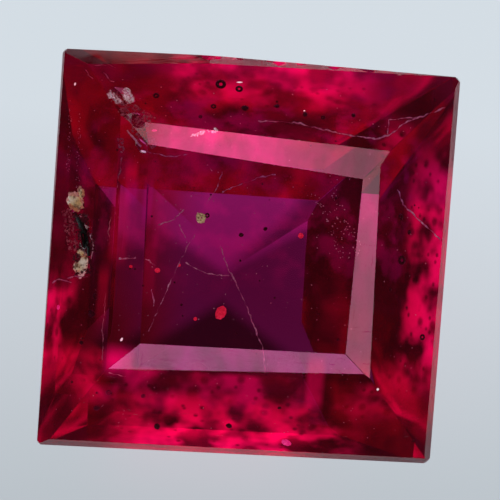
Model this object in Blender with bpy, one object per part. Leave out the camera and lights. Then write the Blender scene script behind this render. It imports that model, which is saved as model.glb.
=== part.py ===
"""A cut ruby: a square step-cut stone with its crown, girdle and pavilion, lying on one facet of the pavilion."""

import math
import random

import bmesh
import bpy
from mathutils import Vector

MM = 0.001

# The stone is laid out as its cutter held it: table facing up, axis along Z, girdle plane at height 0.
# Near is the side that faces the viewer, far the opposite one.
TABLE_HEIGHT = 1.00 * MM
GIRDLE_FOOT = -0.30 * MM
CULET_DEPTH = -3.10 * MM
ROUGH_SIZE = 12.0 * MM
PLANE_TOLERANCE = 1e-8

# Each tier of facets is ground at one height, where every facet stands at its distance from the axis.
# A facet is (azimuth of the side it faces, slope from the girdle plane, distance from the axis).
# The stone was cut by hand, so the four sides of a tier are neither quite square nor equally steep,
# and the far side of the girdle has a slight bend in it.
GIRDLE = {
    "height": 0.0,
    "right": (-0.4, 90.0, 3.340 * MM),
    "far right": (89.15, 90.0, 3.309 * MM),
    "far left": (91.5, 90.0, 3.342 * MM),
    "left": (180.4, 90.0, 3.258 * MM),
    "near": (271.4, 90.0, 3.276 * MM),
}
GIRDLE_BEVEL = {
    "height": 0.0,
    "right": (-0.4, 57.0, 3.340 * MM),
    "far right": (89.15, 57.0, 3.309 * MM),
    "far left": (91.5, 57.0, 3.342 * MM),
    "left": (180.4, 70.0, 3.258 * MM),
    "near": (271.4, 57.0, 3.276 * MM),
}
CROWN_MAIN = {
    "height": 0.0,
    "right": (-0.2, 33.9, 3.455 * MM),
    "far": (85.9, 29.9, 3.494 * MM),
    "left": (181.3, 36.0, 3.316 * MM),
    "near": (271.7, 28.4, 3.450 * MM),
}
CROWN_UPPER = {
    "height": TABLE_HEIGHT,
    "right": (-1.5, 19.4, 1.797 * MM),
    "far": (85.0, 19.4, 1.583 * MM),
    "left": (181.8, 18.5, 1.658 * MM),
    "near": (271.2, 21.2, 1.492 * MM),
}
PAVILION_MAIN = {
    "height": GIRDLE_FOOT,
    "right": (-0.6, 60.0, 3.340 * MM),
    "far": (90.3, 60.0, 3.325 * MM),
    "left": (180.2, 61.0, 3.258 * MM),
    "near": (270.9, 62.0, 3.276 * MM),
}
PAVILION_STEP = {
    "height": -2.55 * MM,
    "right": (0.5, 44.0, 1.17 * MM),
    "far": (90.0, 44.0, 1.04 * MM),
    "left": (180.5, 45.0, 1.65 * MM),
    "near": (270.0, 45.0, 1.77 * MM),
}
PAVILION_POINT = {
    "height": CULET_DEPTH,
    "right": (0.0, 19.0, -0.15 * MM),
    "far": (90.0, 25.0, -0.15 * MM),
    "left": (180.0, 21.0, 0.15 * MM),
    "near": (270.0, 25.0, 0.15 * MM),
}

# Wear has taken a little off the four upright corners of the girdle, and less off the crown above them.
# Each corner is (azimuth, distance from the axis).
CORNER_SLOPE = 84.0
CORNERS = ((45.0, 4.62 * MM), (135.0, 4.57 * MM), (225.0, 4.61 * MM), (315.0, 4.54 * MM))

# A pit opens on the left crown facet, where a grain of another mineral reaches the surface.
# Each hollow of it is (x, y, half-size along each axis, turn about the axis of the stone).
PIT_HOLLOWS = (
    (-2.86 * MM, 0.66 * MM, (0.19 * MM, 0.20 * MM, 0.13 * MM), 12.0),
    (-2.70 * MM, 0.22 * MM, (0.15 * MM, 0.32 * MM, 0.12 * MM), -8.0),
    (-2.72 * MM, -0.26 * MM, (0.16 * MM, 0.22 * MM, 0.12 * MM), 6.0),
)

# The corner of the crown between its far and left sides is broken in shell-shaped flakes.
BROKEN_CORNER_FLAKES = (
    (-2.24 * MM, 2.56 * MM, (0.26 * MM, 0.17 * MM, 0.15 * MM), -38.0),
    (-1.96 * MM, 2.16 * MM, (0.20 * MM, 0.13 * MM, 0.12 * MM), -46.0),
    (-1.86 * MM, 1.72 * MM, (0.17 * MM, 0.10 * MM, 0.09 * MM), -52.0),
)

# The middle of each of those flakes stands this much above the polished surface that it breaks.
FLAKE_RISE = 0.05 * MM

# Knocks have flaked the far edge of the girdle, most of all towards its right end.
# Each has its own share of the edge, and starts somewhere between two parts of that share.
NICK_COUNT = 13
NICK_SLOT_LOW = 0.1
NICK_SLOT_HIGH = 0.9
NICK_FIRST_X = -1.9 * MM
NICK_LAST_X = 3.15 * MM
NICK_Y = 3.35 * MM
NICK_HEIGHT = 0.06 * MM
NICK_RADIUS_LOW = 0.08 * MM
NICK_RADIUS_HIGH = 0.15 * MM
NICK_STRETCH = 1.6
NICK_SEED = 5

# A broken surface is a stretched ball of flat pieces, roughened by this share of its radius.
FLAKE_ROUGHNESS = 0.14
FLAKE_SUBDIVISIONS = 2
FLAKE_SEED = 21

RUBY_COLOUR = (0.60, 0.01, 0.06, 1.0)
RUBY_IOR = 1.762
POLISHED_ROUGHNESS = 0.02


def facets_of(tier):
    return [facet for side, facet in tier.items() if side != "height"]


def facet_normal(azimuth, slope, up):
    """Outward normal of a facet, up for one of the crown and down for one of the pavilion."""
    lean = math.radians(slope)
    turn = math.radians(azimuth)
    return Vector(
        (
            math.cos(turn) * math.sin(lean),
            math.sin(turn) * math.sin(lean),
            math.cos(lean) if up else -math.cos(lean),
        )
    )


def grind(stone, point, normal):
    """Takes off everything outside one plane and closes the stone with the flat facet that it leaves."""
    everything = stone.verts[:] + stone.edges[:] + stone.faces[:]
    cut = bmesh.ops.bisect_plane(
        stone, geom=everything, dist=PLANE_TOLERANCE, plane_co=point, plane_no=normal, clear_outer=True
    )
    rim = [part for part in cut["geom_cut"] if isinstance(part, bmesh.types.BMEdge)]
    if rim:
        bmesh.ops.contextual_create(stone, geom=rim)


def grind_facet(stone, facet, height, up):
    azimuth, slope, distance = facet
    turn = math.radians(azimuth)
    point = Vector((math.cos(turn) * distance, math.sin(turn) * distance, height))
    grind(stone, point, facet_normal(azimuth, slope, up))


def cut_stone():
    """The stone in its cutter's frame, ground facet by facet from a block of rough."""
    stone = bmesh.new()
    bmesh.ops.create_cube(stone, size=ROUGH_SIZE)
    grind(stone, Vector((0.0, 0.0, TABLE_HEIGHT)), Vector((0.0, 0.0, 1.0)))
    for tier in (GIRDLE, GIRDLE_BEVEL, CROWN_MAIN, CROWN_UPPER):
        for facet in facets_of(tier):
            grind_facet(stone, facet, tier["height"], up=True)
    for tier in (PAVILION_MAIN, PAVILION_STEP, PAVILION_POINT):
        for facet in facets_of(tier):
            grind_facet(stone, facet, tier["height"], up=False)
    for azimuth, distance in CORNERS:
        grind_facet(stone, (azimuth, CORNER_SLOPE, distance), GIRDLE["height"], up=True)
    bmesh.ops.recalc_face_normals(stone, faces=stone.faces[:])
    mesh = bpy.data.meshes.new("ruby")
    stone.to_mesh(mesh)
    stone.free()
    return mesh


def crown_height(x, y):
    """Height of the polished crown above one place of the girdle plane."""
    heights = [TABLE_HEIGHT]
    for tier in (CROWN_MAIN, CROWN_UPPER):
        for azimuth, slope, distance in facets_of(tier):
            turn = math.radians(azimuth)
            outward = x * math.cos(turn) + y * math.sin(turn) - distance
            heights.append(tier["height"] - outward * math.tan(math.radians(slope)))
    return min(heights)


def add_flake(name, place, half_sizes, turn, seat, collection, draw):
    """A rough stretched ball, which takes one shell-shaped flake out of the stone."""
    ball = bmesh.new()
    bmesh.ops.create_icosphere(ball, subdivisions=FLAKE_SUBDIVISIONS, radius=1.0)
    for corner in ball.verts:
        corner.co *= 1.0 + draw.uniform(-FLAKE_ROUGHNESS, FLAKE_ROUGHNESS)
        corner.co = Vector(c * half for c, half in zip(corner.co, half_sizes))
    mesh = bpy.data.meshes.new(name)
    ball.to_mesh(mesh)
    ball.free()
    flake = bpy.data.objects.new(name, mesh)
    flake.location = place
    flake.rotation_euler.z = math.radians(turn)
    flake.parent = seat
    flake.hide_render = True
    flake.display_type = "WIRE"
    collection.objects.link(flake)


def add_cutters(seat, collection):
    """The pit, the broken corner and the nicks of the girdle."""
    draw = random.Random(FLAKE_SEED)
    for number, (x, y, half_sizes, turn) in enumerate(PIT_HOLLOWS + BROKEN_CORNER_FLAKES):
        place = (x, y, crown_height(x, y) + FLAKE_RISE)
        add_flake(f"flake_{number}", place, half_sizes, turn, seat, collection, draw)
    draw = random.Random(NICK_SEED)
    for number in range(NICK_COUNT):
        along = (number + draw.uniform(NICK_SLOT_LOW, NICK_SLOT_HIGH)) / NICK_COUNT
        x = NICK_FIRST_X + math.sqrt(along) * (NICK_LAST_X - NICK_FIRST_X)
        radius = draw.uniform(NICK_RADIUS_LOW, NICK_RADIUS_HIGH)
        place = (x, NICK_Y, NICK_HEIGHT)
        add_flake(f"nick_{number}", place, (NICK_STRETCH * radius, radius, radius), 0.0, seat, collection, draw)


def ruby_material():
    material = bpy.data.materials.new("ruby")
    material.use_nodes = True
    shader = material.node_tree.nodes["Principled BSDF"]
    shader.inputs["Base Color"].default_value = RUBY_COLOUR
    shader.inputs["Roughness"].default_value = POLISHED_ROUGHNESS
    shader.inputs["Metallic"].default_value = 0.0
    shader.inputs["IOR"].default_value = RUBY_IOR
    shader.inputs["Transmission Weight"].default_value = 1.0
    return material


def lay_down(seat, ruby):
    """Turns the near facet of the pavilion's point onto the surface below and centres the footprint."""
    azimuth, slope, _ = PAVILION_POINT["near"]
    turn = facet_normal(azimuth, slope, up=False).rotation_difference(Vector((0.0, 0.0, -1.0)))
    seat.rotation_mode = "QUATERNION"
    seat.rotation_quaternion = turn
    bpy.context.view_layer.update()
    evaluated = ruby.evaluated_get(bpy.context.evaluated_depsgraph_get())
    mesh = bpy.data.meshes.new_from_object(evaluated)
    corners = [turn @ vertex.co for vertex in mesh.vertices]
    bpy.data.meshes.remove(mesh)
    low = Vector(min(corner[axis] for corner in corners) for axis in range(3))
    high = Vector(max(corner[axis] for corner in corners) for axis in range(3))
    seat.location = (-(low.x + high.x) / 2, -(low.y + high.y) / 2, -low.z)


def main():
    for old in list(bpy.data.objects):
        bpy.data.objects.remove(old, do_unlink=True)
    stone_collection = bpy.data.collections.new("cut_ruby")
    cutter_collection = bpy.data.collections.new("flakes")
    for collection in (stone_collection, cutter_collection):
        bpy.context.scene.collection.children.link(collection)

    seat = bpy.data.objects.new("seat", None)
    stone_collection.objects.link(seat)
    ruby = bpy.data.objects.new("ruby", cut_stone())
    ruby.data.materials.append(ruby_material())
    ruby.parent = seat
    stone_collection.objects.link(ruby)

    add_cutters(seat, cutter_collection)
    flaking = ruby.modifiers.new("flaking", "BOOLEAN")
    flaking.operation = "DIFFERENCE"
    flaking.operand_type = "COLLECTION"
    flaking.collection = cutter_collection
    lay_down(seat, ruby)


main()
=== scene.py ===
"""A square step-cut ruby that lies on a facet of its pavilion, its table facing the viewer."""

import math
import random

import bmesh
import bpy
from mathutils import Matrix, Vector
from mathutils import noise as solid_noise
from mathutils.bvhtree import BVHTree


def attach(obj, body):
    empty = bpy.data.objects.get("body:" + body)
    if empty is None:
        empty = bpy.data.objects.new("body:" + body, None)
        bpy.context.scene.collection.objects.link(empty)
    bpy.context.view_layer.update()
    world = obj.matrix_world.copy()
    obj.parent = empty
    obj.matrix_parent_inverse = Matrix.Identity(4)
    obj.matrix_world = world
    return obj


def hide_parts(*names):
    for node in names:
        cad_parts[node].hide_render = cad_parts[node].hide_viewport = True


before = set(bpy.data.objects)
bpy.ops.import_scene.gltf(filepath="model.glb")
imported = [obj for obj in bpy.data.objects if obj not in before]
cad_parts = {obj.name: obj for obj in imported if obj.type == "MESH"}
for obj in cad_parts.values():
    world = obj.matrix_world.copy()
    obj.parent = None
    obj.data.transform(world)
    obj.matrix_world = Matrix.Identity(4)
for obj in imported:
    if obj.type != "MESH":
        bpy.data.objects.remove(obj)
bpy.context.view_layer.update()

# The camera looks straight down on the table of the stone from seven centimetres, through a long lens.
# The stone was cut with its table up and then laid down on one facet of its pavilion, so it leans
# towards the viewer, and its sides stand a little clockwise of the frame of the picture.
MM = 0.001
LEAN = math.radians(25.0)
GIRDLE_CENTRE = Vector((-0.0410, -0.0497, 2.8730)) * MM
TURN_IN_PICTURE = math.radians(4.2)
CAMERA_DISTANCE = 70.0 * MM
PICTURE_WIDTH = 8.333 * MM
PICTURE_CENTRE_RIGHT = 0.083 * MM
PICTURE_CENTRE_UP = 0.129 * MM
SENSOR_WIDTH_MM = 36.0
CLIP_NEAR = 5.0 * MM
CLIP_FAR = 1.0
LIGHT_BOUNCES = 28
FACET_BOUNCES = 18


def put_in_scene(name, data):
    thing = bpy.data.objects.new(name, data)
    bpy.context.scene.collection.objects.link(thing)
    return thing


cut_to_laid = Matrix.Translation(GIRDLE_CENTRE) @ Matrix.Rotation(LEAN, 4, "X")
stone_turn = cut_to_laid.to_3x3()
camera_turn = stone_turn @ Matrix.Rotation(TURN_IN_PICTURE, 3, "Z")
aim = GIRDLE_CENTRE + camera_turn @ Vector((PICTURE_CENTRE_RIGHT, PICTURE_CENTRE_UP, 0.0))
camera_place = aim + camera_turn @ Vector((0.0, 0.0, CAMERA_DISTANCE))
camera_data = bpy.data.cameras.new("camera")
camera_data.sensor_width = SENSOR_WIDTH_MM
camera_data.lens = SENSOR_WIDTH_MM * CAMERA_DISTANCE / PICTURE_WIDTH
camera_data.clip_start = CLIP_NEAR
camera_data.clip_end = CLIP_FAR
camera = put_in_scene("camera", camera_data)
camera.matrix_world = Matrix.Translation(camera_place) @ camera_turn.to_4x4()
bpy.context.scene.camera = camera
bpy.context.scene.view_settings.view_transform = "Standard"
bpy.context.scene.cycles.max_bounces = LIGHT_BOUNCES
bpy.context.scene.cycles.glossy_bounces = FACET_BOUNCES
bpy.context.scene.cycles.transmission_bounces = FACET_BOUNCES

# The stone lies on a pale light table, and pale cards stand on the table behind it. Shade is painted into
# the table's glow under the stone, where the pavilion shows it through the top: a lit wedge at the far
# side, half light at the sides, a dark wedge at the near side and some painted red light at the left. The
# glow is also painted darker towards the viewer and far behind. Soft boxes hang in the dark room.
# A ramp is two places in millimetres, and then its values there where these aren't 0 and 1.
BLACK = (0.0, 0.0, 0.0)
PALE_ROUGHNESS = 0.9
PALE_SHINE = 0.1
FLOOR_HALF_WIDTH = 160.0 * MM
FLOOR_DROP = 0.02 * MM
FLOOR_COLOUR = (0.60, 0.66, 0.71)
FLOOR_GLOW = 1.07
FLOOR_DULLNESS = 0.75
FLOOR_NEAR_RAMP = (-5.0, 4.0, 0.70, 1.0)
FLOOR_FAR_RAMP = (25.0, 70.0, 1.0, 0.5)
SHADE_CENTRE = (0.0, 1.0 * MM)
SHADE_ROUNDING = 0.8 * MM
SHADE_EDGE_RAMP = (2.3, 3.3)
SHADE_SIDES = 0.25
SHADE_FAR = 0.70
SHADE_NEAR = 0.04
SHADE_LEFT_RAMP = (-1.9, -1.4, 0.45, 1.0)
WEDGES_X = -0.37 * MM
FAR_WEDGE_SPREAD = 0.8
FAR_WEDGE_RAMP = (0.8, 1.2)
NEAR_WEDGE_SPREAD = 0.75
NEAR_WEDGE_RAMP = (0.25, 0.65)
RED_LIGHT = (0.60, 0.10, 0.10)
RED_LIGHT_RAMP = (-1.7, -0.8, 1.0, 0.0)
CARD_GLOW = 1.3
CARD_DISTANCE = 150.0 * MM
CARD_HEIGHT = 86.0 * MM
CARD_GAP_LEFT = -80.0 * MM
CARD_GAP_RIGHT = 2.0 * MM
ROOM_COLOUR = (0.012, 0.012, 0.013)
SOFT_BOX_COLOUR = (0.97, 0.98, 1.0)
SOFT_BOX_DISTANCE = 120.0 * MM
SOFT_BOXES = (
    {"name": "behind", "azimuth": 0.0, "elevation": 75.0, "width": 46.0, "height": 34.0, "radiance": 0.85},
    {"name": "right", "azimuth": 118.0, "elevation": 46.0, "width": 36.0, "height": 34.0, "radiance": 1.0},
    {"name": "front", "azimuth": 180.0, "elevation": 27.0, "width": 50.0, "height": 28.0, "radiance": 1.0},
)


def math_node(tree, operation, first, second=0.0, clamp=False):
    """A Math node; each value is a number or the output of a node."""
    node = tree.nodes.new("ShaderNodeMath")
    node.operation = operation
    node.use_clamp = clamp
    for socket, value in zip(node.inputs, (first, second)):
        if isinstance(value, (int, float)):
            socket.default_value = value
        else:
            tree.links.new(value, socket)
    return node.outputs["Value"]


def product(tree, first, *others):
    for other in others:
        first = math_node(tree, "MULTIPLY", first, other)
    return first


def rest_of(tree, share):
    """What a share leaves of the whole."""
    return math_node(tree, "SUBTRACT", 1.0, share)


def distance_from(tree, value, middle):
    return math_node(tree, "ABSOLUTE", math_node(tree, "SUBTRACT", value, middle))


def map_range(tree, value, low_in, high_in, low_out=0.0, high_out=1.0, smooth=False):
    node = tree.nodes.new("ShaderNodeMapRange")
    node.interpolation_type = "SMOOTHSTEP" if smooth else "LINEAR"
    sockets = ("From Min", "From Max", "To Min", "To Max")
    for name, number in zip(sockets, (low_in, high_in, low_out, high_out)):
        node.inputs[name].default_value = number
    tree.links.new(value, node.inputs["Value"])
    return node.outputs["Result"]


def ramp(tree, length, start_mm, end_mm, low=0.0, high=1.0, smooth=True):
    """Goes from low to high as a length goes from its start to its end."""
    return map_range(tree, length, start_mm * MM, end_mm * MM, low, high, smooth)


def blend(tree, factor, first, second, mode="MIX"):
    """A mix of two colours, each one either a colour or the output of a node."""
    node = tree.nodes.new("ShaderNodeMix")
    node.data_type = "RGBA"
    node.blend_type = mode
    node.clamp_factor = False
    for name, value in (("Factor", factor), ("A", first), ("B", second)):
        socket = node.inputs[name]
        if isinstance(value, bpy.types.NodeSocket):
            tree.links.new(value, socket)
        elif isinstance(value, tuple):
            socket.default_value = (*value, 1.0)
        else:
            socket.default_value = value
    return node.outputs["Result"]


def split_axes(tree, vector):
    """The three coordinates of a vector, by name."""
    axes = tree.nodes.new("ShaderNodeSeparateXYZ")
    tree.links.new(vector, axes.inputs["Vector"])
    return axes.outputs


def new_material(name):
    """A material, its tree of nodes and its shader."""
    material = bpy.data.materials.new(name)
    material.use_nodes = True
    return material, material.node_tree, material.node_tree.nodes["Principled BSDF"]


def pale_surface(name, colour, glow):
    """A matt pale material that also gives off some light of its own."""
    material, _, shader = new_material(name)
    shader.inputs["Base Color"].default_value = (*colour, 1.0)
    shader.inputs["Roughness"].default_value = PALE_ROUGHNESS
    shader.inputs["Specular IOR Level"].default_value = PALE_SHINE
    shader.inputs["Emission Color"].default_value = (*colour, 1.0)
    shader.inputs["Emission Strength"].default_value = glow
    return material


def stage_sheet(name, corners, material):
    mesh = bpy.data.meshes.new(name)
    mesh.from_pydata([tuple(corner) for corner in corners], [], [(0, 1, 2, 3)])
    mesh.materials.append(material)
    sheet = put_in_scene(name, mesh)
    return sheet


def shade_under_stone(material):
    """Paints shade into the light table's glow where the stone covers it, and a little towards the viewer
    and far behind.
    """
    tree = material.node_tree
    shader = tree.nodes["Principled BSDF"]
    axes = split_axes(tree, tree.nodes.new("ShaderNodeTexCoord").outputs["Object"])
    x = axes["X"]
    y = axes["Y"]
    off_x = distance_from(tree, x, SHADE_CENTRE[0])
    off_y = distance_from(tree, y, SHADE_CENTRE[1])
    away = math_node(tree, "SMOOTH_MAX", off_x, off_y)
    away.node.inputs[2].default_value = SHADE_ROUNDING
    uncovered = ramp(tree, away, *SHADE_EDGE_RAMP)
    aside = distance_from(tree, x, WEDGES_X)
    rise = math_node(tree, "SUBTRACT", y, product(tree, aside, FAR_WEDGE_SPREAD))
    far_wedge = ramp(tree, rise, *FAR_WEDGE_RAMP)
    fall = math_node(tree, "ADD", y, product(tree, aside, NEAR_WEDGE_SPREAD))
    not_near = ramp(tree, fall, *NEAR_WEDGE_RAMP)
    under = math_node(tree, "ADD", SHADE_NEAR, product(tree, not_near, SHADE_SIDES - SHADE_NEAR))
    under = math_node(tree, "ADD", under, product(tree, far_wedge, SHADE_FAR - SHADE_SIDES))
    under = product(tree, under, ramp(tree, x, *SHADE_LEFT_RAMP))
    lit = math_node(tree, "MAXIMUM", uncovered, under)
    fade = product(tree, ramp(tree, y, *FLOOR_NEAR_RAMP, smooth=False), ramp(tree, y, *FLOOR_FAR_RAMP))
    # The red at the left is painted light, where red light through the stone would fall on the table.
    redness = product(tree, ramp(tree, x, *RED_LIGHT_RAMP), rest_of(tree, uncovered))
    glow = blend(tree, product(tree, lit, fade), BLACK, blend(tree, redness, FLOOR_COLOUR, RED_LIGHT))
    tree.links.new(glow, shader.inputs["Emission Color"])
    tree.links.new(blend(tree, FLOOR_DULLNESS, glow, BLACK), shader.inputs["Base Color"])


edge, down = FLOOR_HALF_WIDTH, -FLOOR_DROP
floor = stage_sheet(
    "light_table",
    ((-edge, -edge, down), (edge, -edge, down), (edge, edge, down), (-edge, edge, down)),
    pale_surface("pale_light_table", FLOOR_COLOUR, FLOOR_GLOW),
)
shade_under_stone(floor.data.materials[0])
for name, left_end, right_end in (
    ("back_card_left", -edge, CARD_GAP_LEFT),
    ("back_card_right", CARD_GAP_RIGHT, edge),
):
    stage_sheet(
        name,
        (
            (left_end, CARD_DISTANCE, down),
            (right_end, CARD_DISTANCE, down),
            (right_end, CARD_DISTANCE, CARD_HEIGHT),
            (left_end, CARD_DISTANCE, CARD_HEIGHT),
        ),
        pale_surface("pale_" + name, FLOOR_COLOUR, CARD_GLOW),
    )

for box in SOFT_BOXES:
    azimuth = math.radians(box["azimuth"])
    elevation = math.radians(box["elevation"])
    level = math.cos(elevation)
    towards = Vector((math.sin(azimuth) * level, math.cos(azimuth) * level, math.sin(elevation)))
    lamp = bpy.data.lights.new("soft_box_" + box["name"], "AREA")
    lamp.shape = "RECTANGLE"
    lamp.size = box["width"] * MM
    lamp.size_y = box["height"] * MM
    lamp.energy = box["radiance"] * math.pi * lamp.size * lamp.size_y
    lamp.color = SOFT_BOX_COLOUR
    soft_box = put_in_scene("soft_box_" + box["name"], lamp)
    soft_box.location = GIRDLE_CENTRE + towards * SOFT_BOX_DISTANCE
    soft_box.rotation_euler = (-towards).to_track_quat("-Z", "Y").to_euler()

world = bpy.data.worlds.new("dark_room")
world.use_nodes = True
world.node_tree.nodes["Background"].inputs["Color"].default_value = (*ROOM_COLOUR, 1.0)
bpy.context.scene.world = world

# The stone is one crystal of ruby, ground to flat facets and polished.
# It is clear and deep red, and it takes up green and blue light within a millimetre or two.
# Its crown is well polished, its pavilion less so, and the girdle is left as it was ground.
# A noise is its cells a millimetre, its detail, and how far its cells are drawn out along X, Y and Z.
MERGE_DISTANCE = 0.0001 * MM
FLAT_ANGLE = math.radians(0.4)
WORN_EDGE_WIDTH = 0.012 * MM
WORN_EDGE_MIN_LENGTH = 0.45 * MM
WORN_EDGE_MIN_FACET = 0.3 * MM * MM
PAVILION_BELOW = -0.2
CROWN_ABOVE = 0.62
FAR_LEFT_BEVEL_AZIMUTH = (90.6, 92.5)
FAR_LEFT_BEVEL_RISE = (0.4, 0.7)
STRIP_RISE = (0.90, 0.96)
STRIP_MIN_FACET = 0.05 * MM * MM
# The strips of the crown are given painted light, right, far, left and near.
STRIP_LIGHT_RIGHT_FAR_LEFT_NEAR = ((0.36, 0.0, 0.10), (1.30, 0.0, 0.31), BLACK, (0.42, 0.0, 0.20))
RUBY_IOR = 1.762
ABSORPTION_PER_METRE = 1200.0
ABSORPTION_COLOUR = (0.845, 0.0, 0.63)
CROWN_FINISH = 0.0
PAVILION_FINISH = 0.5
GIRDLE_FINISH = 1.0
CROWN_FINISH_LIMIT = 0.25
GIRDLE_FINISH_LIMIT = 0.75
FINISH_TOLERANCE = 0.1
SCRATCHES = (
    {"noise": (30.0, 2.0, (18.0, 1.0, 6.0)), "levels": (0.66, 0.74)},
    {"noise": (26.0, 2.0, (1.0, 14.0, 5.0)), "levels": (0.68, 0.76)},
)
SCRATCH_ROUGHNESS = 0.10
SCRATCH_DEPTH = 0.0003 * MM
CLOUD_NOISE = (1.3, 4.0)
CLOUD_LEVELS = (0.35, 0.65)
POLISH_ROUGHNESS = (0.012, 0.05)
PAVILION_ROUGHNESS = 0.12
GIRDLE_ROUGHNESS = 0.30
WAVE_NOISE = (1.3, 1.0, (1.0, 1.0, 3.0))
WAVE_HEIGHT = 0.0012 * MM
PAVILION_WAVE_HEIGHT = 0.034 * MM
GRIT_NOISE = (14.0, 3.0)
GRIT_HEIGHT = 0.02 * MM
# The stone's emission is painted light, partly standing for ruby's own red glow.
GLOW_STRENGTH = 0.5
EVEN_GLOW = ((0.004, 0.0, 0.0006), (0.024, 0.0002, 0.003))
PATCH_GLOW = (1.45, 0.006, 0.20)
PATCH_NOISE = (1.7, 2.0, (1.0, 1.0, 5.0))
PATCH_LEVELS = (0.38, 0.68)
PATCH_NEAR_REACH = -1.25
PATCH_OUTER_RAMP = (1.90, 2.35)
PATCH_CORNER_RAMP = (1.25, 2.3)
PATCH_LEFT_RAMP = (-1.4, -2.0)
PATCH_NEAR_RAMP = (-2.3, -1.7, 1.75, 0.95)
PATCH_SIDE_RAMP = (1.8, 2.6, 1.0, 1.3)
LEFT_FAR_SHADE_RAMP = (-0.9, -0.2)
DOTS = ((2.6, 0.30), (4.6, 0.26))
DOT_FLATNESS = 0.3
DOT_CORE = 0.3
DOT_DARKEST = 0.3
SHEEN_GLOW = (0.29, 0.004, 0.14)
SHEEN_NOISE = (2.2, 4.0, (1.0, 1.0, 3.0))
SHEEN_LEVELS = (0.45, 0.66)
SHEEN_RAMP = (-0.9, 0.5)
CLEAR_TINT = (1.0, 0.97, 0.98)
# The left of the crown is tinted redder, darker in its far part with painted shade; the far table gets
# painted shade.
LEFT_ZONE_RAMP = (-1.42, -1.72)
LEFT_TINT_AND_SHADE = ((1.0, 0.60, 0.75), (0.80, 0.35, 0.40))
FAR_SHADE_RAMPS = ((0.92, 1.22), (2.0, 1.7))
FAR_SHADE_TINT = (0.50, 0.50, 1.0)
STREAK_NOISE = (2.2, 3.0, (1.0, 2.5, 1.0))
STREAK_LEVELS = (0.36, 0.64, 0.60, 1.22)
STRIP_ENDS_RAMPS = ((0.5, 1.5, 1.0, 0.25), (-1.76, -1.30, 0.2, 1.0))
STRIP_FAR_SIDE = 1.2 * MM
STRIP_RISING_RAMP = (0.0, 1.1, 1.0, 1.9)
NEAR_GLOW = (0.62, 0.0, 0.075)
NEAR_GLOW_RAMPS = (("Y", -1.88, -2.00), ("Y", -2.80, -2.25), ("X", 1.30, 0.70), ("X", -2.6, -2.2))
BAND_CORE = 0.35
BAND_END_FADE = 0.35
# Bands of growth stand upright in the crystal; they are painted in as light that shines through the crown.
GROWTH_BAND_LIGHT = (
    # middle, half width, near end, far end, glow
    (-2.10, 0.20, -0.35, 1.15, (0.26, 0.0, 0.015)),
    (-1.96, 0.14, 0.95, 1.60, (0.34, 0.0, 0.02)),
    (-1.94, 0.14, 0.60, 1.25, (0.12, 0.0, 0.07)),
    (-1.66, 0.11, 0.30, 1.30, (0.12, 0.0, 0.06)),
    (-1.55, 0.14, -1.00, 0.60, (0.10, 0.0, 0.01)),
    (-2.30, 0.12, -1.40, -0.20, (0.20, 0.0, 0.01)),
    (1.30, 0.20, -2.55, -1.42, (0.48, 0.0, 0.05)),
    (-1.93, 0.34, -2.20, -1.50, (0.75, 0.0, 0.12)),
)


def stone_coordinates(tree):
    """Object coordinates turned and moved to the frame in which the stone was cut."""
    coordinates = tree.nodes.new("ShaderNodeTexCoord")
    mapping = tree.nodes.new("ShaderNodeMapping")
    mapping.inputs["Rotation"].default_value = (-LEAN, 0.0, 0.0)
    mapping.inputs["Location"].default_value = -(stone_turn.transposed() @ GIRDLE_CENTRE)
    tree.links.new(coordinates.outputs["Object"], mapping.inputs["Vector"])
    return mapping.outputs["Vector"]


def noise(tree, vector, per_mm, detail, stretch=(1.0, 1.0, 1.0)):
    """A noise with so many cells a millimetre, drawn out along the axes by the stretch."""
    mapping = tree.nodes.new("ShaderNodeMapping")
    mapping.inputs["Scale"].default_value = tuple(per_mm / MM / s for s in stretch)
    tree.links.new(vector, mapping.inputs["Vector"])
    node = tree.nodes.new("ShaderNodeTexNoise")
    node.inputs["Scale"].default_value = 1.0
    node.inputs["Detail"].default_value = detail
    tree.links.new(mapping.outputs["Vector"], node.inputs["Vector"])
    return node.outputs["Fac"]


def facet_value(tree, name):
    """What each facet carries under a name."""
    node = tree.nodes.new("ShaderNodeAttribute")
    node.attribute_name = name
    return node.outputs


def facet_finishes(tree):
    """Masks of the crown, the pavilion and the girdle."""
    finish = facet_value(tree, "finish")["Fac"]
    crown = math_node(tree, "LESS_THAN", finish, CROWN_FINISH_LIMIT)
    pavilion = math_node(tree, "COMPARE", finish, PAVILION_FINISH)
    pavilion.node.inputs[2].default_value = FINISH_TOLERANCE
    girdle = math_node(tree, "GREATER_THAN", finish, GIRDLE_FINISH_LIMIT)
    return crown, pavilion, girdle


def polish_facets(tree, shader, place, clouds, pavilion, girdle):
    """Fine scratches run two ways over the facets; the pavilion is wavy, and the girdle gritty."""
    one_way, other_way = (
        map_range(tree, noise(tree, place, *scratch["noise"]), *scratch["levels"]) for scratch in SCRATCHES
    )
    lines = math_node(tree, "MAXIMUM", one_way, other_way)
    rough = map_range(tree, clouds, *CLOUD_LEVELS, *POLISH_ROUGHNESS)
    rough = math_node(tree, "ADD", rough, product(tree, lines, SCRATCH_ROUGHNESS))
    rough = math_node(tree, "ADD", rough, product(tree, pavilion, PAVILION_ROUGHNESS))
    rough = math_node(tree, "ADD", rough, product(tree, girdle, GIRDLE_ROUGHNESS), clamp=True)
    tree.links.new(rough, shader.inputs["Roughness"])

    waves = noise(tree, place, *WAVE_NOISE)
    height = product(tree, waves, WAVE_HEIGHT)
    for relief in (
        product(tree, waves, pavilion, PAVILION_WAVE_HEIGHT),
        product(tree, lines, -SCRATCH_DEPTH),
        product(tree, noise(tree, place, *GRIT_NOISE), girdle, GRIT_HEIGHT),
    ):
        height = math_node(tree, "ADD", height, relief)
    bump = tree.nodes.new("ShaderNodeBump")
    bump.inputs["Distance"].default_value = 1.0
    tree.links.new(height, bump.inputs["Height"])
    tree.links.new(bump.outputs["Normal"], shader.inputs["Normal"])


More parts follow.
